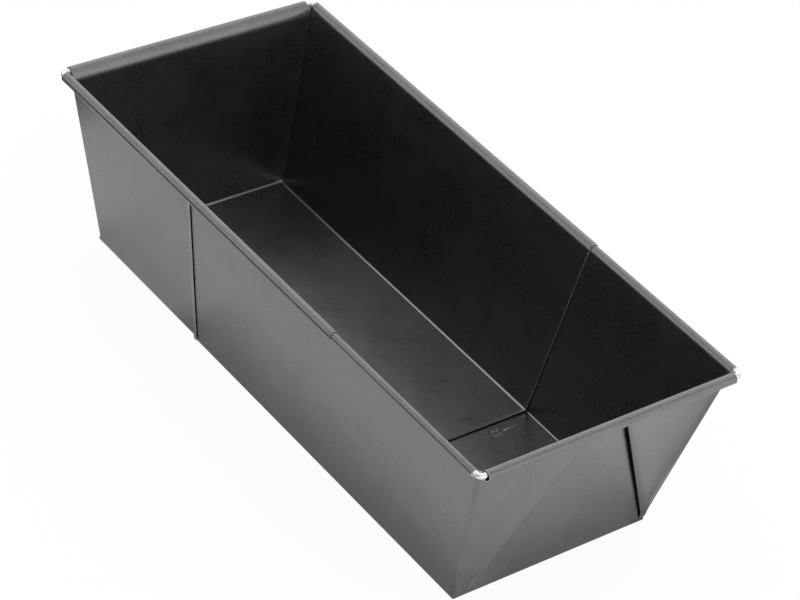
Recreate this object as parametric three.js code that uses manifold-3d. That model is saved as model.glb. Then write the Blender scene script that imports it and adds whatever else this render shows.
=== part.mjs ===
// Adjustable loaf pan: two halves, each folded from one sheet of coated steel, slide into each other.
// The corners are folded like an envelope, and each rim is rolled outwards round a bent steel wire.
// Millimetres, +Z up. +X points to the end of the front half, which lies outside and underneath.
// The origin is on the table, under the middle of the pan at the length shown.

import * as THREE from 'three';
import { mergeVertices } from 'three/addons/utils/BufferGeometryUtils.js';
import Module from 'manifold-3d';

// Overall sizes
const HALF_LENGTH = 170; // either half, from its end rim's centre to its free edge
const SHOWN_OVERLAP = 90; // of the two halves at the length shown
const NESTED_ROOM = 30; // from the rear rim's centre to the front half's free edge at the shortest length
const RIM_WIDTH = 112.4; // between the side rims' centres
const RIM_HEIGHT = 71.6; // of the rims' centres above the table
const FLOOR_WIDTH = 85.4; // front half, outside
const END_LEAN = 14.3; // from the foot of an end wall out to its rim's centre

// Sheet and its bends
const SHEET = 0.25;
const SLIDE_GAP = 0.2; // between the front half and the rear half inside it
const FRONT_BEND = 0.7; // outside radius of the front half's floor bends
const REAR_BEND = 1.15; // the same of the rear half, which leaves room in the front half's tighter bends

// Rolled rims
const WIRE = 2.2; // diameter
const WIRE_GAP = 0.05; // between the wire and the front half's side rolls
const WIRE_BEND = 1.75; // centre-line radius of the wire's corners
const SIDE_STOP = 2.6; // from the end rim's centre back to the ends of the side rolls
const END_STOP = 3.2; // from a side rim's centre in to the end of the end roll
const ROLL_END = THREE.MathUtils.degToRad(280); // heading of the sheet where a roll stops, from straight up
const ROLL_STEP = THREE.MathUtils.degToRad(16);
const END_SLACK = 0.6; // end rolls are wider than the front side rolls by this much in radius
const END_DROP = 0.4; // end rolls hang on the wire, with their centre below its own
const SIDE_FLARE = 3.05; // side walls lean out in a wide bend before their roll: its radius on the front half
const END_FLARE = 7.5; // the same of both end walls
const FLARE_END = THREE.MathUtils.degToRad(45); // heading of the sheet where that bend meets the roll
const ROLL_LAP = 2; // how far a rolled strip runs down into its wall
const LAP_PROUD = 0.02; // by which that strip is thicker than the wall on each side, so the two join cleanly

// Folded corners: a flap of doubled sheet lies on each end wall, from the corner to a slanting crease
const FLAP_STAND = 0.9; // outer face of the flap above the end wall, at the corner
const CREASE_STAND = 1.5; // the same at the crease, where the flap springs open
const FLAP_SHEETS = 0.6; // thickness of the flap, with a gap between it and the end wall
const FLAP_ROOT = 8; // height above the floor where that gap starts
const FLAP_HINGE = 1; // solid stretch of the flap beside the corner bend
const CREASE_INSET = 1.4; // crease from the outside of the side wall, at the floor
const CREASE_TOP = 6.5; // crease from the middle of the pan, at the rim
const CORNER_FOOT = 1.3; // outside radius of the corner bend, at the floor
const CORNER_TOP = 2.6; // the same at the rim
const CORNER_REACH = 6; // from the end rim's centre back past the corner bend at the rim
const CORNER_STEPS = 5;
const BEND_STEPS = 4;

// Hem: the front half's free edge is folded back outwards on its side walls
const HEM_WIDTH = 1.8;
const HEM_STAND = 0.4; // above the wall at the fold
const HEM_SPRING = 0.6; // the same at the hem's cut edge
const HEM_FOOT = 0.7; // lower end above the table
const HEM_DROP = 3.2; // upper end below the rim's centre

// Wires
const WIRE_SIDES = 16;
const WIRE_BEND_STEPS = 6;
const LEG_SHORT = 3; // front wire's legs stop this far inside the free edge
const LEG_CLEAR = 2.5; // rear wire's legs stop this far short of the nested front half

// Worked out from the sizes above
const NESTING = SHEET + SLIDE_GAP;
const SHOWN_LENGTH = 2 * HALF_LENGTH - SHOWN_OVERLAP;
const WALL_TOP = RIM_HEIGHT; // of the walls behind the bare wire at the corners
const FRONT_ROLL = WIRE / 2 + WIRE_GAP + SHEET / 2; // centre-line radii of the rolled sheet
const END_ROLL = FRONT_ROLL + END_SLACK;
const OVERRUN = 5; // cutting solids reach this far past what they cut

const wasm = await Module();
wasm.setup();

// Profiles of walls: x runs outwards, y up. A heading turns from straight up (0) to outwards (90 degrees).
function onArc(centre, radius, heading) {
  return new THREE.Vector2(centre.x - radius * Math.cos(heading), centre.y + radius * Math.sin(heading));
}

// Lean of a wall whose outer face starts at foot and runs up into an arc round centre.
function leanBetween(foot, centre, radius) {
  const reach = centre.clone().sub(foot);
  return Math.atan2(reach.x, reach.y) - Math.asin(radius / reach.length());
}

// Centre of the wide bend between a wall and its roll.
function flareCentre(rim, flare, roll) {
  const away = new THREE.Vector2(Math.cos(FLARE_END), -Math.sin(FLARE_END));
  return rim.clone().addScaledVector(away, flare - roll);
}

const sideRim = new THREE.Vector2(RIM_WIDTH / 2, RIM_HEIGHT);
const sideFoot = new THREE.Vector2(FLOOR_WIDTH / 2, 0);
const sideFlare = flareCentre(sideRim, SIDE_FLARE, FRONT_ROLL);
const SIDE_LEAN = leanBetween(sideFoot, sideFlare, SIDE_FLARE - SHEET / 2);

const endRim = new THREE.Vector2(0, RIM_HEIGHT - END_DROP);
const endFoot = new THREE.Vector2(-END_LEAN, 0);
const endFlare = flareCentre(endRim, END_FLARE, END_ROLL);
const END_WALL_LEAN = leanBetween(endFoot, endFlare, END_FLARE - SHEET / 2);

// One sloping face of a wall, with the bend at its foot where it meets a level floor.
class WallFace {
  constructor(touch, lean, floor, bend) {
    this.touch = touch;
    this.lean = lean;
    this.floor = floor;
    this.bend = bend;
  }

  // The face a given depth further in, parallel to this one all round the bend.
  inset(depth) {
    const inwards = onArc(new THREE.Vector2(), depth, this.lean);
    return new WallFace(this.touch.clone().add(inwards), this.lean, this.floor + depth, this.bend - depth);
  }

  straight(height) {
    return this.touch.x + (height - this.touch.y) * Math.tan(this.lean);
  }

  // How far out the face is at a height.
  at(height) {
    const join = this.floor + this.bend * (1 - Math.sin(this.lean));
    if (height >= join) return this.straight(height);
    const centre = this.straight(join) - this.bend * Math.cos(this.lean);
    const drop = Math.min(this.bend, this.floor + this.bend - height);
    return centre + Math.sqrt(this.bend ** 2 - drop ** 2);
  }

  // Heights that follow the bend, from the floor to where the face runs straight.
  bendHeights() {
    const turn = Math.PI / 2 - this.lean;
    return Array.from({ length: BEND_STEPS + 1 }, (_, k) => (
      this.floor + this.bend * (1 - Math.cos(turn * k / BEND_STEPS))
    ));
  }
}

// Headings from one angle to another in even steps.
function headings(from, to) {
  const count = Math.max(1, Math.ceil((to - from) / ROLL_STEP));
  return Array.from({ length: count + 1 }, (_, k) => from + (to - from) * k / count);
}

// Outline of a rolled strip of sheet: up its wall from below the flare, through the flare and round the roll.
function rollOutline(rim, roll, lean, flare, radius) {
  const turns = headings(lean, FLARE_END);
  const stops = turns.map((heading) => ({ point: onArc(flare, radius, heading), heading }));
  for (const heading of headings(turns.at(-1), ROLL_END).slice(1)) {
    stops.push({ point: onArc(rim, roll, heading), heading });
  }
  const upTheWall = new THREE.Vector2(Math.sin(lean), Math.cos(lean));
  stops.unshift({ point: stops[0].point.clone().addScaledVector(upTheWall, -ROLL_LAP), heading: lean });
  const half = SHEET / 2 + LAP_PROUD;
  const faces = (side) => stops.map(({ point, heading }) => onArc(point, side * half, heading));
  return [...faces(1), ...faces(-1).reverse()];
}

function extrude(outline, depth) {
  return new THREE.ExtrudeGeometry(new THREE.Shape(outline), { depth, bevelEnabled: false, steps: 1 });
}

// Puts a profile (outwards, up, depth) on the +Y side, the -Y side or the end of a half.
function placeOnSide(geometry, sign, from, length) {
  const place = new THREE.Matrix4().makeBasis(
    new THREE.Vector3(0, sign, 0), new THREE.Vector3(0, 0, 1), new THREE.Vector3(sign, 0, 0),
  );
  place.setPosition(sign > 0 ? from : from + length, 0, 0);
  return geometry.applyMatrix4(place);
}

function placeOnEnd(geometry, width) {
  const place = new THREE.Matrix4().makeBasis(
    new THREE.Vector3(1, 0, 0), new THREE.Vector3(0, 0, 1), new THREE.Vector3(0, -1, 0),
  );
  place.setPosition(0, width / 2, 0);
  return geometry.applyMatrix4(place);
}

// Closed solid through level outlines that run anticlockwise, seen from above, with equal counts of points.
function loft(levels) {
  const count = levels[0].outline.length;
  const positions = levels.flatMap(({ height, outline }) => outline.flatMap((p) => [p.x, p.y, height]));
  const index = [];
  for (let level = 0; level < levels.length - 1; level += 1) {
    for (let k = 0; k < count; k += 1) {
      const a = level * count + k;
      const b = level * count + (k + 1) % count;
      index.push(a, b, b + count, a, b + count, a + count);
    }
  }
  const top = (levels.length - 1) * count;
  for (const [a, b, c] of THREE.ShapeUtils.triangulateShape(levels[0].outline, [])) index.push(c, b, a);
  for (const [a, b, c] of THREE.ShapeUtils.triangulateShape(levels.at(-1).outline, [])) {
    index.push(top + a, top + b, top + c);
  }
  const geometry = new THREE.BufferGeometry();
  geometry.setAttribute('position', new THREE.Float32BufferAttribute(positions, 3));
  geometry.setIndex(index);
  return geometry;
}

// Plan outline of a half: straight sides, and a bend at each corner that reaches the end after `beyond`.
// On the outside, the end goes on from there to a crease.
function planOutline(side, end, free, radius, beyond, crease = []) {
  const turn = Math.asin(Math.min(1, beyond / radius));
  const corner = Array.from({ length: CORNER_STEPS + 1 }, (_, k) => {
    const angle = turn * k / CORNER_STEPS;
    const x = end - beyond + radius * Math.sin(angle);
    const y = side - radius + radius * Math.cos(angle);
    return new THREE.Vector2(x, y);
  });
  const near = [new THREE.Vector2(free, side), ...corner, ...crease];
  return [...near.map((p) => new THREE.Vector2(p.x, -p.y)), ...near.reverse()];
}

function rectangle(x0, x1, y0, y1) {
  return [[x0, y0], [x1, y0], [x1, y1], [x0, y1]].map(([x, y]) => new THREE.Vector2(x, y));
}

// Four-sided plan outline between two lines across the pan, on its +Y or its -Y side, run anticlockwise.
function acrossSide(sign, x0, y0, x1, y1) {
  const corners = [[x0[0], y0[0]], [x1[0], y1[0]], [x1[1], y1[1]], [x0[1], y0[1]]];
  const outline = corners.map(([x, y]) => new THREE.Vector2(x, sign * y));
  return sign > 0 ? outline : outline.reverse();
}

function toSolid(geometry) {
  const bare = geometry.clone();
  bare.deleteAttribute('normal');
  bare.deleteAttribute('uv');
  const merged = mergeVertices(bare, 1e-5);
  return new wasm.Manifold(new wasm.Mesh({
    numProp: 3,
    vertProperties: new Float32Array(merged.attributes.position.array),
    triVerts: new Uint32Array(merged.index.array),
  }));
}

function toGeometry(solid) {
  const mesh = solid.getMesh();
  const geometry = new THREE.BufferGeometry();
  geometry.setAttribute('position', new THREE.BufferAttribute(new Float32Array(mesh.vertProperties), 3));
  geometry.setIndex(new THREE.BufferAttribute(new Uint32Array(mesh.triVerts), 1));
  geometry.computeVertexNormals();
  return geometry;
}

const atRim = (height) => height / RIM_HEIGHT;
const creaseAt = (height) => THREE.MathUtils.lerp(sideFoot.x - CREASE_INSET, CREASE_TOP, atRim(height));
const cornerAt = (height) => THREE.MathUtils.lerp(CORNER_FOOT, CORNER_TOP, atRim(height));
const beyondFoldsAt = (height) => cornerAt(height) - FLAP_STAND - SHEET;

// Sheet body of a half, with its end rim's centre at x = 0 and its free edge towards -X.
function halfShell({ nest, bend, hemmed }) {
  const sideTouch = onArc(sideFlare, SIDE_FLARE + nest - SHEET / 2, SIDE_LEAN);
  const endTouch = onArc(endFlare, END_FLARE - SHEET / 2, END_WALL_LEAN);
  const side = new WallFace(sideTouch, SIDE_LEAN, nest, bend);
  const end = new WallFace(endTouch, END_WALL_LEAN, nest, bend);
  const standing = (depth) => depth / Math.cos(END_WALL_LEAN);

  const outside = (height) => ({
    height,
    outline: planOutline(
      side.at(height), end.at(height) + standing(FLAP_STAND), -HALF_LENGTH,
      cornerAt(height), cornerAt(height),
      [new THREE.Vector2(end.at(height) + standing(CREASE_STAND), creaseAt(height))],
    ),
  });
  const innerSide = side.inset(SHEET);
  const innerEnd = end.inset(SHEET);
  const inside = (height) => ({
    height,
    outline: planOutline(
      innerSide.at(height), innerEnd.at(height), -HALF_LENGTH - OVERRUN,
      cornerAt(height) - SHEET, beyondFoldsAt(height),
    ),
  });
  const betweenCreases = (height) => ({
    height,
    outline: rectangle(end.at(height), end.at(height) + OVERRUN, -creaseAt(height), creaseAt(height)),
  });
  const underFlap = (sign) => (height) => {
    const x = end.at(height) + LAP_PROUD;
    const across = [creaseAt(height) - FLAP_HINGE, side.at(height) - cornerAt(height) - FLAP_HINGE];
    const atCrease = x + standing(CREASE_STAND - FLAP_SHEETS);
    const atCorner = x + standing(FLAP_STAND - FLAP_SHEETS);
    return { height, outline: acrossSide(sign, [x, x], across, [atCrease, atCorner], across) };
  };

  const above = WALL_TOP + OVERRUN;
  const outer = toSolid(loft([...side.bendHeights(), WALL_TOP].map(outside)));
  const hollow = toSolid(loft([...innerSide.bendHeights(), above].map(inside)));
  const recess = toSolid(loft([nest - OVERRUN, ...end.bendHeights(), above].map(betweenCreases)));
  let shell = outer.subtract(hollow).subtract(recess);
  for (const sign of [-1, 1]) {
    const gap = loft([nest + FLAP_ROOT, above].map(underFlap(sign)));
    shell = shell.subtract(toSolid(gap));
  }

  const openAbove = ({ x, y }, x0, x1, y0, y1) => {
    const levels = [y, above].map((height) => ({ height, outline: rectangle(x + x0, x + x1, y0, y1) }));
    shell = shell.subtract(toSolid(loft(levels)));
  };
  const sideStart = -HALF_LENGTH + LAP_PROUD;
  const sideLength = HALF_LENGTH - LAP_PROUD - SIDE_STOP;
  const sideStrip = rollOutline(sideRim, FRONT_ROLL + nest, SIDE_LEAN, sideFlare, SIDE_FLARE + nest);
  const corner = new THREE.Vector2(-CORNER_REACH, sideTouch.y);
  for (const sign of [-1, 1]) {
    const middle = sign * sideTouch.x;
    openAbove(corner, -HALF_LENGTH, 0, middle - OVERRUN, middle + OVERRUN);
    shell = shell.add(toSolid(placeOnSide(extrude(sideStrip, sideLength), sign, sideStart, sideLength)));
  }
  const endLength = RIM_WIDTH - 2 * END_STOP;
  const endStrip = rollOutline(endRim, END_ROLL, END_WALL_LEAN, endFlare, END_FLARE);
  openAbove(endTouch, -OVERRUN, OVERRUN, -endLength / 2, endLength / 2);
  shell = shell.add(toSolid(placeOnEnd(extrude(endStrip, endLength), endLength)));

  if (hemmed) {
    const hemLevel = (sign) => (height) => {
      const out = (depth) => side.at(height) + depth / Math.cos(SIDE_LEAN);
      const start = [sideStart, sideStart];
      const stop = [sideStart + HEM_WIDTH, sideStart + HEM_WIDTH];
      const fold = [out(-SHEET / 2), out(HEM_STAND)];
      const cutEdge = [out(-SHEET / 2), out(HEM_SPRING)];
      return { height, outline: acrossSide(sign, start, fold, stop, cutEdge) };
    };
    for (const sign of [-1, 1]) {
      const hem = loft([HEM_FOOT, RIM_HEIGHT - HEM_DROP].map(hemLevel(sign)));
      shell = shell.add(toSolid(hem));
    }
  }
  return toGeometry(shell);
}

// Round wire bent in a level plane: two legs, two corners and the run along the end rim.
function rimWire(leg) {
  const y = RIM_WIDTH / 2;
  const near = [new THREE.Vector2(-leg, -y)];
  for (let k = 0; k <= WIRE_BEND_STEPS; k += 1) {
    const angle = Math.PI / 2 * k / WIRE_BEND_STEPS;
    near.push(new THREE.Vector2(
      WIRE_BEND * (Math.sin(angle) - 1),
      WIRE_BEND * (1 - Math.cos(angle)) - y,
    ));
  }
  const path = [...near, ...near.map((p) => new THREE.Vector2(p.x, -p.y)).reverse()];
  const positions = [];
  path.forEach((point, k) => {
    const arrive = point.clone().sub(path[Math.max(0, k - 1)]).normalize();
    const leave = path[Math.min(path.length - 1, k + 1)].clone().sub(point).normalize();
    const along = arrive.add(leave).normalize();
    for (let side = 0; side < WIRE_SIDES; side += 1) {
      const angle = 2 * Math.PI * side / WIRE_SIDES;
      const out = WIRE / 2 * Math.cos(angle);
      const up = WIRE / 2 * Math.sin(angle);
      positions.push(point.x - along.y * out, point.y + along.x * out, RIM_HEIGHT + up);
    }
  });
  const index = [];
  for (let ring = 0; ring < path.length - 1; ring += 1) {
    for (let side = 0; side < WIRE_SIDES; side += 1) {
      const a = ring * WIRE_SIDES + side;
      const b = ring * WIRE_SIDES + (side + 1) % WIRE_SIDES;
      index.push(a, b, b + WIRE_SIDES, a, b + WIRE_SIDES, a + WIRE_SIDES);
    }
  }
  const last = (path.length - 1) * WIRE_SIDES;
  for (let side = 1; side < WIRE_SIDES - 1; side += 1) {
    index.push(0, side + 1, side, last, last + side, last + side + 1);
  }
  const geometry = new THREE.BufferGeometry();
  geometry.setAttribute('position', new THREE.Float32BufferAttribute(positions, 3));
  geometry.setIndex(index);
  geometry.computeVertexNormals();
  return geometry;
}

const coating = () => new THREE.MeshStandardMaterial({ color: 0x3b3c3e, roughness: 0.4, metalness: 0.6 });
const plating = () => new THREE.MeshStandardMaterial({ color: 0xd9d9d6, roughness: 0.2, metalness: 1 });

function piece(name, geometry, material) {
  const mesh = new THREE.Mesh(geometry, material);
  mesh.name = name;
  return mesh;
}

const outerShell = halfShell({ nest: 0, bend: FRONT_BEND, hemmed: true });
const front = new THREE.Group();
front.position.x = SHOWN_LENGTH / 2;
front.add(
  piece('front_half_shell', outerShell, coating()),
  piece('front_rim_wire', rimWire(HALF_LENGTH - LEG_SHORT), plating()),
);

const nestedShell = halfShell({ nest: NESTING, bend: REAR_BEND });
const rear = new THREE.Group();
rear.position.x = -SHOWN_LENGTH / 2;
rear.rotation.z = Math.PI;
rear.add(
  piece('rear_half_shell', nestedShell, coating()),
  piece('rear_rim_wire', rimWire(NESTED_ROOM - LEG_CLEAR), plating()),
);

const pan = new THREE.Group();
pan.add(front, rear);
export default pan;
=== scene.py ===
"""Looks of an adjustable loaf pan: two halves of coated sheet steel that slide into each other.

Each half is one sheet, drawn as a maker folds it. Level outlines of the sheet are bent in plan, with the
doubled flaps of the envelope corners, and joined from the floor up to the rim. The top edges are then rolled
round the rim wire. Lengths are in metres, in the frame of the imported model: +X to the front end, +Y across,
+Z up.
"""

from __future__ import annotations

import logging
import math
from collections.abc import Iterable
from dataclasses import dataclass, field
from enum import Enum
from typing import Any

import bmesh
import bpy
from bmesh.types import BMEdge, BMesh, BMVert
from mathutils import Matrix, Vector

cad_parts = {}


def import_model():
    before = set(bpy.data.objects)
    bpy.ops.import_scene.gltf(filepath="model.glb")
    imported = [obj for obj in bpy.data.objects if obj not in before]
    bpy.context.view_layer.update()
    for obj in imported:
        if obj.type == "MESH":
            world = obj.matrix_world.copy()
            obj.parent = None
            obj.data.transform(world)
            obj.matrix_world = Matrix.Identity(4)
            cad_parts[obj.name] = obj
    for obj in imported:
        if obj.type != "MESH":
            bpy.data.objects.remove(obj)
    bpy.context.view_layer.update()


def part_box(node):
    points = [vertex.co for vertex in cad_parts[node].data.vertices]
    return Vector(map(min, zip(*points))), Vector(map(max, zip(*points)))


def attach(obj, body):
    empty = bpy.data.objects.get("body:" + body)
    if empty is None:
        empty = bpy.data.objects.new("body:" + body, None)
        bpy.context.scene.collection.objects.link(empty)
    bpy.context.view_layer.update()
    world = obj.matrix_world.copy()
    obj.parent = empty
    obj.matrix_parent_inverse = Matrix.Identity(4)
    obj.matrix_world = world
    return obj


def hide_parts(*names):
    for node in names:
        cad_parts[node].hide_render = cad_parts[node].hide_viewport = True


LOG = logging.getLogger("loaf_pan")
MM = 0.001
CENTIMETRE = 10 * MM
TINY = 0.002 * MM
# Attribute that carries the painted highlight along the floor bends.
BEND_HIGHLIGHT = "painted_bend_highlight"
ALONG = Vector((1.0, 0.0, 0.0))
ACROSS = Vector((0.0, 1.0, 0.0))
UP = Vector((0.0, 0.0, 1.0))


class Half(Enum):
    """The two halves of the pan, named for the end wall that each one carries."""

    FRONT = "front"
    REAR = "rear"

    @property
    def body(self) -> str:
        """Name of the body that the half moves with."""
        return f"{self.value}_half"

    @property
    def shell(self) -> str:
        """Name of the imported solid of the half's sheet."""
        return f"{self.value}_half_shell"

    @property
    def wire(self) -> str:
        """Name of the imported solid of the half's rim wire."""
        return f"{self.value}_rim_wire"


class Stretch(Enum):
    """The stretches of sheet that an outline passes, from the free edge to the middle of the end wall."""

    SIDE = "side wall"
    CORNER = "corner bend"
    FLAP = "outer layer of the flap"
    CREASE = "fold at the crease"
    LINING = "inner layer of the flap"
    TUCK = "fold behind the corner"
    END = "end wall"


def mix(low: float, high: float, share: float) -> float:
    """Value that is a given share of the way from low to high."""
    return low + (high - low) * share


def smooth_share(value: float, start: float, end: float) -> float:
    """Share from 0 to 1 of the way from start to end, with soft ends."""
    share = min(1.0, max(0.0, (value - start) / (end - start)))
    return share * share * (3.0 - 2.0 * share)


def shares(count: int) -> list[float]:
    """Shares of the way at the end of each of count equal steps."""
    return [step / count for step in range(1, count + 1)]


def only(kind: type, geom: list[Any]) -> list[Any]:
    """The items of one kind among those that an operator made."""
    return [item for item in geom if isinstance(item, kind)]


def finished_object(mesh: BMesh, name: str) -> bpy.types.Object:
    """Makes a smooth-shaded object of a bmesh and links it to the scene.

    Args:
        mesh: The bmesh, which is freed.
        name: Name of the object and of its mesh.

    Returns:
        The new object, at the origin.
    """
    for face in mesh.faces:
        face.smooth = True
    data = bpy.data.meshes.new(name)
    mesh.to_mesh(data)
    mesh.free()
    made = bpy.data.objects.new(name, data)
    bpy.context.scene.collection.objects.link(made)
    return made


class Socket:
    """A node's output that takes part in arithmetic, so that shader maths reads as plain expressions."""

    def __init__(self, tree: ShaderTree, output: bpy.types.NodeSocket) -> None:
        """Wraps one output of a node in the given tree."""
        self.tree = tree
        self.output = output

    def _math(self, operation: str, first: Any, second: Any) -> Socket:
        """Adds a Math node that joins two values."""
        return self.tree.node("ShaderNodeMath", {"operation": operation}, {0: first, 1: second})

    def __add__(self, other: Any) -> Socket:
        """Sum of two values."""
        return self._math("ADD", self, other)

    __radd__ = __add__

    def __mul__(self, other: Any) -> Socket:
        """Product of two values."""
        return self._math("MULTIPLY", self, other)

    __rmul__ = __mul__

    def __sub__(self, other: Any) -> Socket:
        """Difference of two values."""
        return self._math("SUBTRACT", self, other)

    def __rsub__(self, other: Any) -> Socket:
        """Difference of two values, with the socket second."""
        return self._math("SUBTRACT", other, self)

    def at_most(self, other: Any) -> Socket:
        """The smaller of two values."""
        return self._math("MINIMUM", self, other)

    def at_least(self, other: Any) -> Socket:
        """The larger of two values."""
        return self._math("MAXIMUM", self, other)

    def size(self) -> Socket:
        """The value without its sign."""
        return self.tree.node("ShaderNodeMath", {"operation": "ABSOLUTE"}, {0: self})

    def rise(self, start: float, end: float) -> Socket:
        """Soft step from 0 at start to 1 at end."""
        inputs = {"Value": self, "From Min": start, "From Max": end}
        return self.tree.node("ShaderNodeMapRange", {"interpolation_type": "SMOOTHSTEP"}, inputs)

    def along(self, way: Vector) -> Socket:
        """Length of a vector along a given direction."""
        inputs = {0: self, 1: tuple(way.normalized())}
        return self.tree.node("ShaderNodeVectorMath", {"operation": "DOT_PRODUCT"}, inputs, "Value")


class ShaderTree:
    """The nodes of one material or world."""

    def __init__(self, owner: bpy.types.Material | bpy.types.World) -> None:
        """Takes over the node tree of a material or world and empties it."""
        owner.use_nodes = True
        self.owner = owner
        self.nodes = owner.node_tree.nodes
        self.links = owner.node_tree.links
        self.nodes.clear()

    def node(self, kind: str, settings: dict[str, Any], inputs: dict[Any, Any], output: Any = 0) -> Socket:
        """Adds a node.

        Args:
            kind: Type name of the node.
            settings: Properties of the node, and "stops" for the places and colours of a ramp.
            inputs: Values or sockets for the node's inputs, by name or place.
            output: Name or place of the output that is returned.

        Returns:
            The chosen output.
        """
        made = self.nodes.new(kind)
        for name, value in settings.items():
            if name == "stops":
                self._set_stops(made.color_ramp, value)
            else:
                setattr(made, name, value)
        for name, value in inputs.items():
            if isinstance(value, Socket):
                self.links.new(value.output, made.inputs[name])
            else:
                made.inputs[name].default_value = value
        return Socket(self, made.outputs[output])

    @staticmethod
    def _set_stops(ramp: bpy.types.ColorRamp, stops: Iterable[tuple[float, float]]) -> None:
        """Gives a ramp's two grey stops their places and levels."""
        for element, (place, level) in zip(ramp.elements, stops):
            element.position = place
            element.color = (level, level, level, 1.0)

    def object_place(self) -> Socket:
        """Place on the piece, in Object coordinates."""
        return self.node("ShaderNodeTexCoord", {}, {}, "Object")

    def ray(self, kind: str) -> Socket:
        """Tells whether the light path is of the given kind."""
        return self.node("ShaderNodeLightPath", {}, {}, f"Is {kind} Ray")

    def noise(self, grain: float) -> Socket:
        """Noise from 0 to 1 whose spots are about as large as grain."""
        return self.node("ShaderNodeTexNoise", {}, {"Vector": self.object_place(), "Scale": 1.0 / grain})

    def grey(self, share: Socket, spread: tuple[float, float], low: float, high: float) -> Socket:
        """Grey that goes from low to high while the share goes through its spread."""
        return self.node("ShaderNodeValToRGB", {"stops": zip(spread, (low, high))}, {"Fac": share})

    def end(self, kind: str, shader: Socket) -> None:
        """Links a shader to a new output node."""
        made = self.nodes.new(kind)
        self.links.new(shader.output, made.inputs["Surface"])

    def metal(self, inputs: dict[str, Any]) -> bpy.types.Material:
        """Ends the nodes in a Principled shader with the given inputs and returns the material."""
        self.end("ShaderNodeOutputMaterial", self.node("ShaderNodeBsdfPrincipled", {}, inputs))
        return self.owner


@dataclass(frozen=True)
class SheetCoating:
    """Dark grey satin coating with a fine metallic grain, on both faces of the sheet.

    It has a painted highlight: a lighter grey where the sheet's bend-highlight attribute says so, in the
    bends round the floor.
    """

    name: str = "sheet_coating"
    level: float = 0.165
    level_swing: float = 0.045
    level_spread: tuple[float, float] = (0.25, 0.75)
    speck_share: float = 0.7
    # Grey of the painted highlight along the floor bends.
    painted_highlight_level: float = 0.4
    metal: float = 0.97
    roughness: float = 0.285
    roughness_swing: float = 0.08
    grain: float = 0.55 * MM
    cloud: float = 14.0 * MM
    grain_depth: float = 0.012 * MM

    def material(self) -> bpy.types.Material:
        """Builds the material.

        Returns:
            A material on Object coordinates.
        """
        tree = ShaderTree(bpy.data.materials.new(self.name))
        speck = tree.noise(self.grain)
        cloud = tree.noise(self.cloud)
        low = self.level - self.level_swing
        high = self.level + self.level_swing
        share = speck * self.speck_share + cloud * (1.0 - self.speck_share)
        colour = tree.grey(share, self.level_spread, low, high)
        # Painted highlight: along the floor bends the attribute mixes the grey towards a fixed lighter grey,
        # which stands in for the bright lines that light draws on the bends.
        painted_highlight = tree.node("ShaderNodeAttribute", {"attribute_name": BEND_HIGHLIGHT}, {}, "Fac")
        bare = (self.painted_highlight_level, self.painted_highlight_level, self.painted_highlight_level, 1.0)
        # The colour sockets of a Mix node share their names with others, so they go by place.
        colour = tree.node("ShaderNodeMix", {"data_type": "RGBA"}, {0: painted_highlight, 6: colour, 7: bare}, 2)
        uneven = (speck - 0.5) * self.roughness_swing + (cloud - 0.5) * self.roughness_swing
        normal = tree.node("ShaderNodeBump", {}, {"Height": speck, "Distance": self.grain_depth}, "Normal")
        return tree.metal({
            "Base Color": colour,
            "Metallic": self.metal,
            "Roughness": uneven + self.roughness,
            "Normal": normal,
        })


@dataclass(frozen=True)
class CutSteel:
    """Bare steel that shows where the coated sheet was cut."""

    level: float = 0.75
    dark_share: float = 0.7
    level_spread: tuple[float, float] = (0.3, 0.7)
    roughness: float = 0.45
    metal: float = 0.6
    grain: float = 0.4 * MM

    def material(self) -> bpy.types.Material:
        """Builds the material.

        Returns:
            A material on Object coordinates.
        """
        tree = ShaderTree(bpy.data.materials.new("cut_steel"))
        speck = tree.noise(self.grain)
        colour = tree.grey(speck, self.level_spread, self.level * self.dark_share, self.level)
        return tree.metal({"Base Color": colour, "Metallic": self.metal, "Roughness": self.roughness})


@dataclass(frozen=True)
class WirePlating:
    """Bright plating of the rim wire, with a faint grain."""

    level: float = 0.7
    dark_share: float = 0.9
    level_spread: tuple[float, float] = (0.2, 0.8)
    roughness: float = 0.16
    roughness_swing: float = 0.12
    grain: float = 0.5 * MM

    def material(self) -> bpy.types.Material:
        """Builds the material.

        Returns:
            A material on Object coordinates.
        """
        tree = ShaderTree(bpy.data.materials.new("wire_plating"))
        speck = tree.noise(self.grain)
        colour = tree.grey(speck, self.level_spread, self.level * self.dark_share, self.level)
        roughness = (speck - 0.5) * self.roughness_swing + self.roughness
        return tree.metal({"Base Color": colour, "Metallic": 1.0, "Roughness": roughness})


@dataclass(frozen=True)
class PanFrame:
    """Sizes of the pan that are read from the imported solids."""

    wire_radius: float
    rim_height: float
    rim_half_width: float
    rim_x: float
    half_length: float

    @classmethod
    def read(cls) -> PanFrame:
        """Reads the sizes from the front half's wire and sheet."""
        low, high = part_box(Half.FRONT.wire)
        free_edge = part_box(Half.FRONT.shell)[0].x
        radius = (high.z - low.z) / 2
        rim_x = high.x - radius
        return cls(radius, (high.z + low.z) / 2, high.y - radius, rim_x, rim_x - free_edge)

    def placing(self, half: Half) -> Matrix:
        """Where a half stands that was drawn with its end rim over the origin and facing +X."""
        turn = math.pi if half is Half.REAR else 0.0
        return Matrix.Rotation(turn, 4, "Z") @ Matrix.Translation((self.rim_x, 0.0, 0.0))


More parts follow.
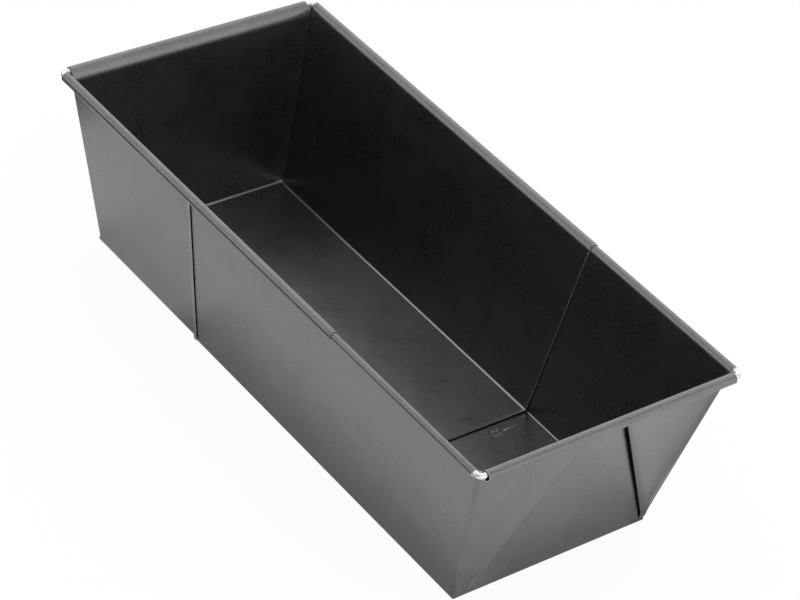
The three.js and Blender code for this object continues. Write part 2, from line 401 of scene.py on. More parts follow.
@dataclass(frozen=True)
class SheetSizes:
    """Sizes of the folded sheet that both halves share, and the numbers of lines that divide its bends.

    Radii are those of the sheet's middle.
    """

    thickness: float = 0.25 * MM
    slide_gap: float = 0.2 * MM
    floor_half_width: float = 42.7 * MM
    end_run: float = 14.0 * MM
    front_bend: float = 0.75 * MM
    rear_bend: float = 1.05 * MM
    wire_gap: float = 0.05 * MM
    end_slack: float = 0.6 * MM
    end_drop: float = 0.4 * MM
    side_flare: float = 3.05 * MM
    end_flare: float = 7.5 * MM
    flare_end: float = math.radians(45.0)
    roll_end: float = math.radians(280.0)
    roll_stop: float = 2.6 * MM
    crease_foot: float = 41.3 * MM
    crease_top: float = 6.5 * MM
    crease_fold: float = 0.25 * MM
    crease_lift_foot: float = 1.5 * MM
    crease_lift_top: float = 2.15 * MM
    crease_round: float = 2.4 * MM
    crease_drop: float = 0.7 * MM
    tuck_fold: float = 0.2 * MM
    tuck_clear: float = 0.2 * MM
    tuck_ridge: float = 0.9 * MM
    ridge_width: float = 6.0 * MM
    ridge_end: float = 0.7
    corner_ear: float = 0.45 * MM
    ear_start: float = 0.7 * MM
    ear_end: float = 2.6 * MM
    corner_foot: float = 2.8 * MM
    corner_top: float = 1.3 * MM
    corner_rise: float = 0.7 * MM
    corner_lip: float = 0.9 * MM
    soft_width: float = 6.0 * MM
    soft_lift: float = 0.5 * MM
    fold_start: float = 1.2 * MM
    fold_open: float = 2.8 * MM
    fold_spring: float = 7.5 * MM
    foot_share: float = 0.6
    hem_width: float = 1.8 * MM
    hem_fold: float = 0.2 * MM
    hem_spring: float = 0.2 * MM
    hem_foot: float = 0.7 * MM
    curl_width: float = 2.0 * MM
    curl_lift: float = 0.5 * MM
    curl_on_wall: float = 0.35
    curl_fade: float = 6.0 * MM
    curl_end: float = 0.8
    edge_slant: float = 2.1 * MM
    edge_round: float = 0.08 * MM
    edge_sharp: float = math.radians(60.0)
    edge_steps: int = 2
    bend_steps: int = 8
    floor_bend_steps: int = 6
    side_flare_steps: int = 8
    end_flare_steps: int = 10
    roll_steps: int = 28
    fold_lines: int = 5
    wall_lines: int = 14
    wall_crowding: float = 1.6
    corner_lines: int = 5
    corner_follow: float = 0.5
    curl_lines: int = 3

    @property
    def nesting(self) -> float:
        """Distance between the two halves' sheets where they lie in each other."""
        return self.thickness + self.slide_gap

    @property
    def flap_stand(self) -> float:
        """How far the flap's outer layer stands off the end wall."""
        return 2 * (self.crease_fold + self.tuck_fold)


def arc_point(centre: Vector, radius: float, heading: float) -> Vector:
    """Point on an arc, as (out, up), where the sheet has turned by heading from straight up to outwards."""
    return centre + Vector((-radius * math.cos(heading), radius * math.sin(heading)))


def lean_between(foot: Vector, centre: Vector, radius: float) -> float:
    """Lean of a wall that starts at foot and runs up into an arc round centre."""
    reach = centre - foot
    return math.atan2(reach.x, reach.y) - math.asin(radius / reach.length)


@dataclass(frozen=True)
class WallLine:
    """Middle of a sloping wall's sheet: how far out it is at each height.

    It has a bend at its foot, and above its straight part a wide bend outwards, the flare.
    """

    flare: Vector
    flare_radius: float
    lean: float
    floor: float
    bend: float

    @property
    def touch(self) -> Vector:
        """Point, as (out, up), where the straight wall meets the flare."""
        return arc_point(self.flare, self.flare_radius, self.lean)

    @property
    def join(self) -> float:
        """Height where the floor bend meets the straight wall."""
        return self.floor + self.bend * (1.0 - math.sin(self.lean))

    def straight(self, height: float) -> float:
        """Distance out of the straight wall, also where it is produced."""
        return self.touch.x + (height - self.touch.y) * math.tan(self.lean)

    def out_at(self, height: float) -> float:
        """Distance out of the wall or of the bend below it."""
        if height >= self.join:
            return self.straight(height)
        centre = self.straight(self.join) - self.bend * math.cos(self.lean)
        drop = self.floor + self.bend - height
        return centre + math.sqrt(max(0.0, self.bend**2 - drop**2))

    def flared(self, height: float) -> float:
        """Distance out of the straight wall or of the flare above it."""
        if height <= self.touch.y:
            return self.straight(height)
        rise = height - self.flare.y
        return self.flare.x - math.sqrt(self.flare_radius**2 - rise**2)

    def bend_heights(self, steps: int) -> list[float]:
        """Heights of the lines along which the floor bend is divided, from the floor to the wall."""
        turn = math.pi / 2 - self.lean
        return [self.floor + self.bend * (1.0 - math.cos(turn * step / steps)) for step in range(steps + 1)]


class OutlinePen:
    """Draws a level outline of the sheet in plan, as straight runs and bends."""

    def __init__(self, mesh: BMesh, start: Vector, heading: Vector) -> None:
        """Sets the pen down at start."""
        self.mesh = mesh
        self.heading = heading
        self.start: BMVert = bmesh.ops.create_vert(mesh, co=start)["vert"][0]
        self.tip: BMVert = self.start
        self.stretches: dict[Stretch, list[BMEdge]] = {}

    @property
    def edges(self) -> list[BMEdge]:
        """All edges of the named stretches, in order."""
        return [edge for run in self.stretches.values() for edge in run]

    def run_to(self, x: float, y: float) -> list[BMEdge]:
        """Draws a straight run to a place at the outline's height and returns its edge."""
        made = bmesh.ops.extrude_vert_indiv(self.mesh, verts=[self.tip])
        run = Vector((x, y, self.tip.co.z)) - self.tip.co
        bmesh.ops.translate(self.mesh, verts=made["verts"], vec=run)
        self.tip = made["verts"][0]
        return made["edges"]

    def bend(self, turn: float, radius: float, steps: int) -> list[BMEdge]:
        """Draws a bend.

        Args:
            turn: Angle of the bend, positive to the left.
            radius: Radius of the sheet's middle.
            steps: Number of edges.

        Returns:
            The new edges.
        """
        left = UP.cross(self.heading)
        centre = self.tip.co + left * math.copysign(radius, turn)
        known = set(self.mesh.edges)
        made = bmesh.ops.spin(self.mesh, geom=[self.tip], cent=centre, axis=UP, angle=turn, steps=steps)
        self.tip = only(BMVert, made["geom_last"])[0]
        self.heading = Matrix.Rotation(turn, 3, "Z") @ self.heading
        return [edge for edge in self.mesh.edges if edge not in known]

    def close(self) -> list[BMEdge]:
        """Joins the tip to the start and returns the new edge."""
        return bmesh.ops.contextual_create(self.mesh, geom=[self.tip, self.start])["edges"]


@dataclass
class FoldedHalf:
    """One half of the pan: a sheet folded to a tray with envelope corners, rolled rims and a free edge.

    It is drawn with its end rim over the origin, facing +X, on the +Y side only, and then mirrored.
    """

    half: Half
    frame: PanFrame
    sizes: SheetSizes
    side: WallLine = field(init=False)
    end: WallLine = field(init=False)
    side_roll: float = field(init=False)
    end_roll: float = field(init=False)

    def __post_init__(self) -> None:
        """Works out the wall lines and the rolls."""
        sizes = self.sizes
        lift = sizes.nesting if self.half is Half.REAR else 0.0
        front_roll = self.frame.wire_radius + sizes.wire_gap + sizes.thickness / 2
        self.side_roll = front_roll + lift
        self.end_roll = front_roll + sizes.end_slack
        rim = Vector((self.frame.rim_half_width, self.frame.rim_height))
        foot = Vector((sizes.floor_half_width, 0.0))
        self.side = self._wall_line(rim, foot, front_roll, sizes.side_flare, lift)
        foot = Vector((-sizes.end_run, 0.0))
        self.end = self._wall_line(self._end_rim(), foot, self.end_roll, sizes.end_flare, 0.0)

    def _end_rim(self) -> Vector:
        """Centre of the end roll, as (out, up), a little below that of the wire."""
        return Vector((0.0, self.frame.rim_height - self.sizes.end_drop))

    def _wall_line(self, rim: Vector, foot: Vector, roll: float, flare: float, lift: float) -> WallLine:
        """Works out the line of one wall.

        Args:
            rim: Centre of the roll, as (out, up).
            foot: Where the front half's wall would meet the table.
            roll: Radius of the roll.
            flare: Radius of the flare.
            lift: By how much the sheet lies further in than that.

        Returns:
            The line of the sheet's middle.
        """
        half_sheet = self.sizes.thickness / 2
        away = Vector((math.cos(self.sizes.flare_end), -math.sin(self.sizes.flare_end)))
        centre = rim + away * (flare - roll)
        lean = lean_between(foot, centre, flare - half_sheet)
        rear = self.half is Half.REAR
        floor = half_sheet + (self.sizes.nesting if rear else 0.0)
        bend = self.sizes.rear_bend if rear else self.sizes.front_bend
        return WallLine(centre, flare + lift, lean, floor, bend)

    def build(self, coating: bpy.types.Material, edge: bpy.types.Material) -> bpy.types.Object:
        """Folds the sheet, gives it its thickness and dresses it.

        Args:
            coating: Material of the sheet's faces.
            edge: Material of the sheet's cut edges.

        Returns:
            The finished piece.
        """
        mesh = bmesh.new()
        top = self._raise_walls(mesh)
        rim_vert = self._roll_side(mesh, top.stretches[Stretch.SIDE])
        self._roll_end(mesh, top.stretches[Stretch.END])
        self._raise_corner(mesh, top.stretches[Stretch.CORNER], rim_vert)
        if self.half is Half.FRONT:
            self._fold_hem(mesh)
        else:
            self._curl_edge(mesh)
        self._paint_bend_highlight(mesh)
        everything = [*mesh.verts, *mesh.edges, *mesh.faces]
        bmesh.ops.mirror(mesh, geom=everything, matrix=Matrix.Identity(4), merge_dist=TINY, axis="Y")
        bmesh.ops.remove_doubles(mesh, verts=mesh.verts, dist=TINY)
        bmesh.ops.recalc_face_normals(mesh, faces=mesh.faces)
        bmesh.ops.transform(mesh, matrix=self.frame.placing(self.half), verts=mesh.verts)
        if self.half is Half.REAR:
            self._slant_edge(mesh)
        piece = finished_object(mesh, f"{self.half.value}_half_sheet")
        piece.data.materials.append(coating)
        piece.data.materials.append(edge)
        self._thicken(piece)
        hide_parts(self.half.shell)
        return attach(piece, self.half.body)

    def _heights(self) -> list[float]:
        """Heights of the outlines, from the floor to the start of the end wall's flare."""
        sizes = self.sizes
        base = self.side.floor
        folds = [base + mix(sizes.fold_start, sizes.fold_open, share) for share in shares(sizes.fold_lines)]
        top = self.end.touch.y
        walls = [mix(folds[-1], top, share**sizes.wall_crowding) for share in shares(sizes.wall_lines)]
        return self.side.bend_heights(sizes.floor_bend_steps) + folds + walls

    def _corner_radius(self, height: float) -> float:
        """Radius of the soft corner bend, which tightens to a small ear at the floor."""
        sizes = self.sizes
        wall = mix(sizes.corner_foot, sizes.corner_top, height / self.frame.rim_height)
        above = height - self.side.floor
        return mix(sizes.corner_ear, wall, smooth_share(above, sizes.ear_start, sizes.ear_end))

    def _crease_lift(self, height: float) -> float:
        """How far the flap springs out at its crease, which lies flat at its foot."""
        sizes = self.sizes
        share = height / self.frame.rim_height
        spring = smooth_share(height - self.side.floor, sizes.fold_start, sizes.fold_spring)
        return mix(sizes.crease_lift_foot, sizes.crease_lift_top, share) * spring

    def _outline(self, mesh: BMesh, height: float) -> OutlinePen:
        """Draws the sheet's outline at one height, from the free edge to the middle of the end wall.

        Args:
            mesh: The bmesh to draw in.
            height: Height of the outline.

        Returns:
            The pen, with the outline's stretches.
        """
        sizes = self.sizes
        base = self.side.floor
        share = height / self.frame.rim_height
        opened = smooth_share(height, base + sizes.fold_start, base + sizes.fold_open)
        side = self.side.out_at(height)
        end = self.end.out_at(height)
        corner = self._corner_radius(height)
        pressed = opened * mix(sizes.foot_share, 1.0, share)
        tuck = sizes.tuck_fold * pressed
        crease = sizes.crease_fold * pressed
        lining_x = end + 2 * tuck
        flap_x = lining_x + 2 * crease
        bend_end = side - corner
        crease_y = mix(sizes.crease_foot, sizes.crease_top, share) + sizes.crease_fold
        crease_y = mix(bend_end, min(crease_y, bend_end - sizes.crease_fold), opened)
        top = self.end.touch.y
        ridge = opened * sizes.tuck_ridge * (1.0 - smooth_share(height, sizes.ridge_end * top, top))
        room = (corner - sizes.tuck_clear) ** 2 - (corner - sizes.flap_stand * pressed - ridge) ** 2
        tuck_y = bend_end + opened * (math.sqrt(max(0.0, room)) - tuck)
        pen = OutlinePen(mesh, Vector((-self.frame.half_length, side, height)), ALONG)
        stretches = pen.stretches
        stretches[Stretch.SIDE] = pen.run_to(flap_x - corner, side)
        stretches[Stretch.CORNER] = pen.bend(-math.pi / 2, corner, sizes.bend_steps)
        crease_x = flap_x + opened * self._crease_lift(height)
        round_y = crease_y + min(opened * sizes.crease_round, (bend_end - crease_y) / 2)
        soft_y = bend_end - min(sizes.soft_width, (bend_end - round_y) / 2)
        soft_x = flap_x + opened * sizes.soft_lift * (bend_end - soft_y) / sizes.soft_width
        soft_x += (crease_x - flap_x) * (bend_end - soft_y) / max(bend_end - round_y, TINY)
        stretches[Stretch.FLAP] = pen.run_to(soft_x, soft_y)
        stretches[Stretch.FLAP] += pen.run_to(crease_x, round_y)
        crease_x -= opened * sizes.crease_drop
        stretches[Stretch.FLAP] += pen.run_to(crease_x, crease_y)
        stretches[Stretch.CREASE] = pen.bend(-math.pi, crease, sizes.bend_steps)
        ridge_y = tuck_y - min(sizes.ridge_width, (tuck_y - crease_y) / 2)
        stretches[Stretch.LINING] = pen.run_to(lining_x, ridge_y)
        stretches[Stretch.LINING] += pen.run_to(lining_x - ridge, tuck_y)
        stretches[Stretch.TUCK] = pen.bend(math.pi, tuck, sizes.bend_steps)
        stretches[Stretch.END] = pen.run_to(end, tuck_y - sizes.ridge_width)
        stretches[Stretch.END] += pen.run_to(end, 0.0)
        return pen

    def _raise_walls(self, mesh: BMesh) -> OutlinePen:
        """Draws all outlines, lays the floor in the lowest and joins each to the next.

        Args:
            mesh: The bmesh to draw in.

        Returns:
            The highest outline.
        """
        heights = self._heights()
        lowest = self._outline(mesh, heights[0])
        lower = lowest
        for height in heights[1:]:
            upper = self._outline(mesh, height)
            bmesh.ops.bridge_loops(mesh, edges=[*lower.edges, *upper.edges])
            lower = upper
        self._lay_floor(mesh, lowest)
        return lower

    def _lay_floor(self, mesh: BMesh, outline: OutlinePen) -> None:
        """Fills the lowest outline as far as the middle of the pan."""
        loop = list(outline.edges)
        loop += outline.run_to(-self.frame.half_length, 0.0)
        loop += outline.close()
        bmesh.ops.contextual_create(mesh, geom=loop)

    def _roll_side(self, mesh: BMesh, edges: list[BMEdge]) -> BMVert:
        """Carries the side wall up to the rim, rolls it outwards and lets the roll run on over the corner.

        Args:
            mesh: The bmesh to work in.
            edges: Top edges of the side wall.

        Returns:
            The vertex at the corner where the wall turns into the roll.
        """
        sizes = self.sizes
        vertex = edges[0].verts[0]
        rise = Vector((0.0, self.side.touch.x - vertex.co.y, self.side.touch.y - vertex.co.z))
        made = bmesh.ops.extrude_edge_only(mesh, edges=edges)["geom"]
        verts = only(BMVert, made)
        bmesh.ops.translate(mesh, verts=verts, vec=rise)
        rim_edges = [e for e in only(BMEdge, made) if all(v in verts for v in e.verts)]
        rim_vert = max(verts, key=lambda v: v.co.x)
        last_x = rim_vert.co.x
        known = set(mesh.edges)
        centre = Vector((0.0, *self.side.flare))
        turn = self.side.lean - sizes.flare_end
        steps = sizes.side_flare_steps
        geom = [*verts, *rim_edges]
        geom = bmesh.ops.spin(mesh, geom=geom, cent=centre, axis=ALONG, angle=turn, steps=steps)["geom_last"]
        centre = Vector((0.0, self.frame.rim_half_width, self.frame.rim_height))
        turn = sizes.flare_end - sizes.roll_end
        bmesh.ops.spin(mesh, geom=geom, cent=centre, axis=ALONG, angle=turn, steps=sizes.roll_steps)
        rolled = [e for e in mesh.edges if e not in known and rim_vert not in e.verts]
        at_end = [e for e in rolled if all(abs(v.co.x - last_x) < TINY for v in e.verts)]
        grown = bmesh.ops.extrude_edge_only(mesh, edges=at_end)["geom"]
        verts = only(BMVert, grown)
        bmesh.ops.translate(mesh, verts=verts, vec=Vector((-sizes.roll_stop - last_x, 0.0, 0.0)))
        return rim_vert

    def _roll_end(self, mesh: BMesh, edges: list[BMEdge]) -> None:
        """Bends the end wall's top out in a wide flare and rolls it."""
        sizes = self.sizes
        geom = [*edges, *{v for e in edges for v in e.verts}]
        centre = Vector((self.end.flare.x, 0.0, self.end.flare.y))
        turn = sizes.flare_end - self.end.lean
        steps = sizes.end_flare_steps
        geom = bmesh.ops.spin(mesh, geom=geom, cent=centre, axis=ACROSS, angle=turn, steps=steps)["geom_last"]
        rim = self._end_rim()
        centre = Vector((rim.x, 0.0, rim.y))
        turn = sizes.roll_end - sizes.flare_end
        bmesh.ops.spin(mesh, geom=geom, cent=centre, axis=ACROSS, angle=turn, steps=sizes.roll_steps)

    def _raise_corner(self, mesh: BMesh, edges: list[BMEdge], rim_vert: BMVert) -> None:
        """Carries the corner bend on up behind the bare wire, where it tightens to follow the wire.

        Args:
            mesh: The bmesh to work in.
            edges: Top edges of the corner bend.
            rim_vert: The vertex at the corner where the side wall turns into its roll.
        """
        sizes = self.sizes
        foot = self.end.touch.y
        top = self.frame.rim_height + sizes.corner_rise
        lower = edges
        ring = {rim_vert, min((v for e in edges for v in e.verts), key=lambda v: v.co.x)}
        for share in shares(sizes.corner_lines):
            height = mix(foot, top, share)
            corner = mix(self._corner_radius(foot), sizes.corner_lip, share**2)
            flap_x = mix(self.end.straight(height), self.end.flared(height), sizes.corner_follow)
            start = Vector((flap_x + sizes.flap_stand - corner, self.side.flared(height), height))
            pen = OutlinePen(mesh, start, ALONG)
            upper = pen.bend(-math.pi / 2, corner, sizes.bend_steps)
            bmesh.ops.bridge_loops(mesh, edges=[*lower, *upper])
            lower = upper
            ring.add(pen.start)
        bmesh.ops.contextual_create(mesh, geom=[rim_vert, pen.start])
        bmesh.ops.contextual_create(mesh, geom=[e for e in mesh.edges if ring.issuperset(e.verts)])

    def _fold_hem(self, mesh: BMesh) -> None:
        """Folds the free edge of the side wall back outwards into a narrow hem."""
        sizes = self.sizes
        free = -self.frame.half_length
        low = sizes.hem_foot - TINY
        high = self.end.touch.y + TINY
        edges = [
            e for e in mesh.edges
            if all(abs(v.co.x - free) < TINY and low < v.co.z < high for v in e.verts)
        ]
        verts = {v for e in edges for v in e.verts}
        lean = self.side.lean
        out = Vector((0.0, math.cos(lean), -math.sin(lean)))
        slope = Vector((0.0, math.sin(lean), math.cos(lean)))
        centre = next(iter(verts)).co + out * sizes.hem_fold
        steps = sizes.bend_steps
        geom = [*verts, *edges]
        made = bmesh.ops.spin(mesh, geom=geom, cent=centre, axis=slope, angle=-math.pi, steps=steps)
        grown = bmesh.ops.extrude_edge_only(mesh, edges=only(BMEdge, made["geom_last"]))["geom"]
        verts = only(BMVert, grown)
        run = Vector((sizes.hem_width - sizes.hem_fold, 0.0, 0.0))
        bmesh.ops.translate(mesh, verts=verts, vec=run + out * sizes.hem_spring)

    def _inwards(self, height: float) -> Vector:
        """Direction from the side wall, its floor bend or the floor into the pan."""
        turn = math.pi / 2 - self.side.lean
        if height < self.side.join:
            turn = math.acos(min(1.0, 1.0 - (height - self.side.floor) / self.side.bend))
        return Vector((0.0, -math.sin(turn), math.cos(turn)))

    def _curl_edge(self, mesh: BMesh) -> None:
        """Curls the free edge below the rim a little inwards, off the sheet that it slides on."""
        sizes = self.sizes
        free = -self.frame.half_length
        for share in shares(sizes.curl_lines):
            place = Vector((free + sizes.curl_width * share, 0.0, 0.0))
            everything = [*mesh.verts, *mesh.edges, *mesh.faces]
            bmesh.ops.bisect_plane(mesh, geom=everything, dist=TINY, plane_co=place, plane_no=ALONG)
        top = self.end.touch.y
        for vert in mesh.verts:
            share = 1.0 - (vert.co.x - free) / sizes.curl_width
            fade = mix(1.0, sizes.curl_on_wall, smooth_share(vert.co.z, self.side.join, sizes.curl_fade))
            fade *= 1.0 - smooth_share(vert.co.z, sizes.curl_end * top, top)
            if share > 0.0 and fade > 0.0:
                vert.co += self._inwards(vert.co.z) * (sizes.curl_lift * fade * share**2)

    def _slant_edge(self, mesh: BMesh) -> None:
        """Lets the free edge of the far side wall lean on a little over the front half towards the rim."""
        free = self.frame.half_length - self.frame.rim_x - self.sizes.curl_width - TINY
        rim = self.frame.rim_height
        for vert in mesh.verts:
            if vert.co.x > free and vert.co.y > self.sizes.floor_half_width:
                vert.co.x += self.sizes.edge_slant * min(1.0, vert.co.z / rim)

    def _paint_bend_highlight(self, mesh: BMesh) -> None:
        """Notes in an attribute how strongly the painted highlight lightens the coating, which is most in the
        middle of the floor bend.
        """
        painted_highlight = mesh.verts.layers.float.new(BEND_HIGHLIGHT)
        for vert in mesh.verts:
            share = (vert.co.z - self.side.floor) / (self.side.join - self.side.floor)
            vert[painted_highlight] = max(0.0, 4.0 * share * (1.0 - share))

    def _thicken(self, piece: bpy.types.Object) -> None:
        """Gives the sheet its thickness, rounded cut edges and shading that keeps its flats flat."""
        solid = piece.modifiers.new("thickness", "SOLIDIFY")
        solid.thickness = self.sizes.thickness
        solid.offset = 0.0
        solid.use_even_offset = False
        solid.use_quality_normals = True
        solid.material_offset_rim = 1
        rounding = piece.modifiers.new("cut_edges", "BEVEL")
        rounding.width = self.sizes.edge_round
        rounding.segments = self.sizes.edge_steps
        rounding.limit_method = "ANGLE"
        rounding.angle_limit = self.sizes.edge_sharp
        rounding.material = 1
        piece.modifiers.new("flats", "WEIGHTED_NORMAL")


@dataclass
class RimWire:
    """Round wire bent to a U, which lies in the rolled rims of one half and shows at the corners."""

    half: Half
    frame: PanFrame
    bend: float = 1.75 * MM
    bend_steps: int = 14
    sides: int = 28

    def build(self, plating: bpy.types.Material) -> bpy.types.Object:
        """Bends the wire and dresses it.

        Args:
            plating: Material of the wire.

        Returns:
            The finished piece.
        """
        frame = self.frame
        low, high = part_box(self.half.wire)
        leg = high.x - low.x - frame.wire_radius
        mesh = bmesh.new()
        start = Vector((-leg, -frame.rim_half_width, frame.rim_height))
        facing = Matrix.Translation(start) @ Matrix.Rotation(math.pi / 2, 4, "Y")
        radius = frame.wire_radius
        bmesh.ops.create_circle(mesh, cap_ends=True, radius=radius, segments=self.sides, matrix=facing)
        ring = list(mesh.edges)
        ring = self._straight(mesh, ring, Vector((leg - self.bend, 0.0, 0.0)))
        ring = self._turn(mesh, ring, -1.0)
        ring = self._straight(mesh, ring, Vector((0.0, 2 * (frame.rim_half_width - self.bend), 0.0)))
        ring = self._turn(mesh, ring, 1.0)
        ring = self._straight(mesh, ring, Vector((self.bend - leg, 0.0, 0.0)))
        bmesh.ops.contextual_create(mesh, geom=ring)
        bmesh.ops.recalc_face_normals(mesh, faces=mesh.faces)
        bmesh.ops.transform(mesh, matrix=frame.placing(self.half), verts=mesh.verts)
        piece = finished_object(mesh, f"{self.half.value}_wire")
        piece.data.materials.append(plating)
        piece.modifiers.new("flats", "WEIGHTED_NORMAL")
        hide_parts(self.half.wire)
        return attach(piece, self.half.body)

    @staticmethod
    def _straight(mesh: BMesh, ring: list[BMEdge], vec: Vector) -> list[BMEdge]:
        """Draws the wire on along a straight line and returns its new end ring."""
        made = bmesh.ops.extrude_edge_only(mesh, edges=ring)["geom"]
        verts = only(BMVert, made)
        bmesh.ops.translate(mesh, verts=verts, vec=vec)
        return [e for e in only(BMEdge, made) if all(v in verts for v in e.verts)]

    def _turn(self, mesh: BMesh, ring: list[BMEdge], side: float) -> list[BMEdge]:
        """Bends the wire by a right angle at the corner on the given side and returns its new end ring."""
        centre = Vector((-self.bend, side * (self.frame.rim_half_width - self.bend), self.frame.rim_height))
        geom = [*ring, *{v for e in ring for v in e.verts}]
        steps = self.bend_steps
        made = bmesh.ops.spin(mesh, geom=geom, cent=centre, axis=UP, angle=math.pi / 2, steps=steps)
        return only(BMEdge, made["geom_last"])


@dataclass
class LengthScale:
    """Raised figures and strokes on the front floor that tell the pan's length in centimetres."""

    frame: PanFrame
    sizes: SheetSizes
    numbers: tuple[int, ...] = (20, 25, 30)
    beyond_edge: float = 4.5 * MM
    figure_y: float = 24.4 * MM
    figure_height: float = 3.4 * MM
    type_share: float = 1.4
    stroke_start: float = 28.0 * MM
    stroke_end: float = 34.3 * MM
    stroke_width: float = 0.8 * MM
    stroke_round: float = 0.48
    relief: float = 0.16 * MM
    round_steps: int = 3

    def build(self, painted_highlight: bpy.types.Material) -> bpy.types.Object:
        """Makes all marks as one piece.

        Args:
            painted_highlight: Material of the raised marks, a coating painted lighter as a painted glint.

        Returns:
            The finished piece.
        """
        mesh = bmesh.new()
        for number in self.numbers:
            shown = CENTIMETRE * number
            edge = self.frame.half_length - shown + self.frame.rim_x
            self._add_mark(mesh, str(number), edge + self.beyond_edge)
        piece = finished_object(mesh, "length_marks")
        piece.data.materials.append(painted_highlight)
        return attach(piece, Half.FRONT.body)

    def _add_mark(self, mesh: BMesh, figures: str, x: float) -> None:
        """Adds one number and its stroke at a place along the pan."""
        floor = self.sizes.thickness - TINY
        curve = bpy.data.curves.new("figures", "FONT")
        curve.body = figures
        curve.size = self.figure_height * self.type_share
        curve.align_x = "CENTER"
        curve.align_y = "CENTER"
        curve.bevel_depth = self.relief / 2
        curve.bevel_resolution = 2
        curve.offset = -self.relief / 2
        text = bpy.data.objects.new("figures", curve)
        bpy.context.scene.collection.objects.link(text)
        graph = bpy.context.evaluated_depsgraph_get()
        flat = bpy.data.meshes.new_from_object(text.evaluated_get(graph))
        bpy.data.objects.remove(text)
        flat.transform(Matrix.Translation((x, self.figure_y, floor + self.relief / 2)))
        mesh.from_mesh(flat)
        bpy.data.meshes.remove(flat)
        length = self.stroke_end - self.stroke_start
        middle = Vector((x, (self.stroke_start + self.stroke_end) / 2, floor + self.relief / 2))
        shape = Matrix.Diagonal((self.stroke_width, length, self.relief, 1.0))
        made = bmesh.ops.create_cube(mesh, size=1.0, matrix=Matrix.Translation(middle) @ shape)
        edges = list({e for v in made["verts"] for e in v.link_edges})
        bmesh.ops.bevel(
            mesh, geom=edges, offset=self.relief * self.stroke_round, segments=self.round_steps,
            profile=0.5, affect="EDGES", material=-1,
        )


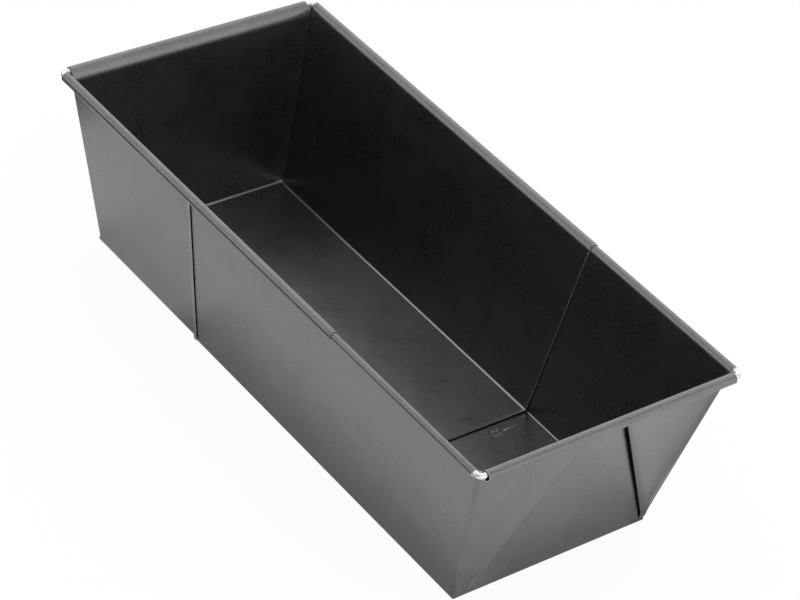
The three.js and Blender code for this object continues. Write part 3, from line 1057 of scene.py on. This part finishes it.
@dataclass
class Studio:
    """White table and soft white light round the pan, and the camera.

    The table's levels are those that the pan's outside mirrors. The camera itself sees the table white.
    """

    azimuth: float = 47.0046
    elevation: float = 37.2565
    roll: float = 10.1493
    distance: float = 1137.6648 * MM
    aside: float = 14.3524 * MM
    above: float = 27.4083 * MM
    lens: float = 140.472
    sensor: float = 36.0
    nearest: float = 50.0 * MM
    table_size: float = 6.0
    table_drop: float = 0.05 * MM
    table_level: float = 0.9
    seen_share: float = 0.94
    foot_x: float = 110.7 * MM
    foot_y: float = 42.7 * MM
    shadow_width: float = 32.0 * MM
    shadow_start: float = -50.0 * MM
    shadow_level: float = 0.45
    foot_level: float = 0.72
    far_level: float = 0.35
    corner_light: float = 0.35
    corner_start: float = 15.0 * MM
    corner_end: float = 45.0 * MM
    corner_from_foot: tuple[float, float] = (-2.0 * MM, 4.0 * MM)
    flap_level: float = 0.4
    flap_start: float = 24.0 * MM
    flap_end: float = 40.0 * MM
    flap_slant: float = 2.3
    flap_from_foot: float = 8.0 * MM
    bright_level: float = 1.3
    bright_start: float = 20.0 * MM
    bright_end: float = 65.0 * MM
    bright_from_foot: tuple[float, float] = (20.0 * MM, 42.0 * MM)
    painted_dim_near: float = 90.0 * MM
    painted_dim_left: float = 160.0 * MM
    painted_dim_fade: float = 25.0 * MM
    sky_level: float = 1.0
    box_level: float = 0.45
    box_way: tuple[float, float, float] = (-0.53, 0.42, 0.74)
    box_edges: tuple[float, float] = (46.0, 22.0)
    wall_level: float = 0.45
    wall_heights: tuple[float, float] = (0.58, 0.26)
    front_level: float = 0.3
    front_way: tuple[float, float, float] = (0.9, -0.25, 0.35)
    near_level: float = -0.6
    near_way: tuple[float, float, float] = (0.25, -0.9, 0.35)
    side_edges: tuple[float, float] = (52.0, 18.0)

    def build(self) -> None:
        """Sets the view transform and makes the camera, the table and the light."""
        bpy.context.scene.view_settings.view_transform = "Standard"
        self._place_camera()
        self._lay_table()
        self._light_sky()

    def _place_camera(self) -> None:
        """Stands the camera where the photograph was taken from."""
        turn = math.radians(self.azimuth)
        rise = math.radians(self.elevation)
        tilt = math.radians(self.roll)
        back = Vector((math.sin(turn) * math.cos(rise), -math.cos(turn) * math.cos(rise), math.sin(rise)))
        level = Vector((math.cos(turn), math.sin(turn), 0.0))
        upright = back.cross(level)
        right = math.cos(tilt) * level + math.sin(tilt) * upright
        up = math.cos(tilt) * upright - math.sin(tilt) * level
        data = bpy.data.cameras.new("camera")
        data.sensor_width = self.sensor
        data.lens = self.lens
        data.clip_start = self.nearest
        camera = bpy.data.objects.new("camera", data)
        place = self.aside * right + self.above * up + self.distance * back
        camera.matrix_world = Matrix.Translation(place) @ Matrix((right, up, back)).transposed().to_4x4()
        bpy.context.scene.collection.objects.link(camera)
        bpy.context.scene.camera = camera

    def _lay_table(self) -> None:
        """Lays a white table under the pan that shows white and keeps a faint shadow."""
        mesh = bmesh.new()
        bmesh.ops.create_grid(mesh, x_segments=1, y_segments=1, size=self.table_size / 2)
        bmesh.ops.translate(mesh, verts=mesh.verts, vec=-self.table_drop * UP)
        table = finished_object(mesh, "table")
        made = bpy.data.materials.new("table_white")
        tree = ShaderTree(made)
        seen = tree.ray("Camera")
        glossy = tree.ray("Glossy")
        through = tree.ray("Transmission")
        place = tree.object_place()
        along = place.along(ALONG)
        across = place.along(ACROSS)
        mirrored = (glossy + through).at_most(1.0)
        share = seen * self.seen_share + mirrored
        level = self.table_level
        plain = tree.node("ShaderNodeBsdfDiffuse", {}, {"Color": (level, level, level, 1.0)})
        # Glossy and transmission rays see the table's painted light and shade instead of plain white.
        shown = seen + mirrored * self._table_light(along, across)
        white = tree.node("ShaderNodeEmission", {}, {"Color": shown, "Strength": 1.0})
        shader = tree.node("ShaderNodeMixShader", {}, {0: share, 1: plain, 2: white})
        tree.end("ShaderNodeOutputMaterial", shader)
        table.data.materials.append(made)

    def _table_light(self, along: Socket, across: Socket) -> Socket:
        """Painted light and shade on the table, which the pan mirrors.

        It has a painted shadow at the pan's foot, a painted dark band outside the right flap, a painted
        lighter zone to the right and a painted lightening near the front-left corner. It falls to a dim level
        past set distances on the near and left sides.

        Args:
            along: Place along the pan.
            across: Place across it.

        Returns:
            The light, where 1 is white.
        """
        ahead = along - self.foot_x
        beside = (along.size() - self.foot_x).at_least(0.0) + (across.size() - self.foot_y).at_least(0.0)
        foot = beside.rise(0.0, self.shadow_width) * (1.0 - self.foot_level) + self.foot_level
        shadow = 1.0 - (beside + (self.shadow_start - along).at_least(0.0)).rise(0.0, self.shadow_width)
        corner = (0.0 - across).rise(self.corner_start, self.corner_end) * ahead.rise(*self.corner_from_foot)
        shadow = shadow * (1.0 - corner * self.corner_light)
        bright = across.rise(self.bright_start, self.bright_end) * ahead.rise(*self.bright_from_foot)
        bright = bright * (self.bright_level - 1.0) + 1.0
        # Painted dimming: past set distances on the near and left sides the table's light falls to the far
        # level.
        near = (self.painted_dim_near + across).rise(-self.painted_dim_fade, 0.0)
        near = near.at_least(ahead.rise(0.0, self.shadow_width))
        left = (self.painted_dim_left + along).rise(-self.painted_dim_fade, 0.0)
        outside = (across - ahead * self.flap_slant).rise(self.flap_start, self.flap_end)
        outside = outside * ahead.rise(0.0, self.flap_from_foot)
        light = foot.at_most(1.0 - shadow * (1.0 - self.shadow_level)) * bright
        light = light * (1.0 - outside * (1.0 - self.flap_level))
        return (light - self.far_level) * near * left + self.far_level

    def _light_sky(self) -> None:
        """Lights the pan from a white room with a soft box above and behind, and shows plain white itself."""
        world = bpy.data.worlds.new("studio")
        bpy.context.scene.world = world
        tree = ShaderTree(world)
        seen = tree.ray("Camera")
        way = tree.node("ShaderNodeTexCoord", {}, {}, "Generated")
        wide, narrow = (math.cos(math.radians(angle)) for angle in self.box_edges)
        box = way.along(Vector(self.box_way)).rise(wide, narrow)
        walls = 1.0 - way.along(UP).rise(self.wall_heights[1], self.wall_heights[0])
        wide, narrow = (math.cos(math.radians(angle)) for angle in self.side_edges)
        front = way.along(Vector(self.front_way)).rise(wide, narrow)
        near = way.along(Vector(self.near_way)).rise(wide, narrow)
        sides = front * self.front_level + near * self.near_level
        light = box * self.box_level + walls * self.wall_level + sides + self.sky_level
        strength = light * (1.0 - seen) + seen
        shader = tree.node("ShaderNodeBackground", {}, {"Color": (1.0, 1.0, 1.0, 1.0), "Strength": strength})
        tree.end("ShaderNodeOutputWorld", shader)


def main() -> None:
    """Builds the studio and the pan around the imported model."""
    logging.basicConfig(level=logging.INFO, format="%(name)s: %(message)s")
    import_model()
    Studio().build()
    frame = PanFrame.read()
    sizes = SheetSizes()
    coating = SheetCoating().material()
    edge = CutSteel().material()
    plating = WirePlating().material()
    pieces = []
    for half in Half:
        pieces.append(FoldedHalf(half, frame, sizes).build(coating, edge))
        pieces.append(RimWire(half, frame).build(plating))
    # The marks get a lighter grey than the coating: a painted glint on their raised edges.
    painted_highlight = SheetCoating(name="painted_highlight_coating", level=0.34, roughness=0.34).material()
    pieces.append(LengthScale(frame, sizes).build(painted_highlight))
    for piece in pieces:
        LOG.info("%s: %d faces drawn", piece.name, len(piece.data.polygons))


if __name__ == "__main__":
    main()
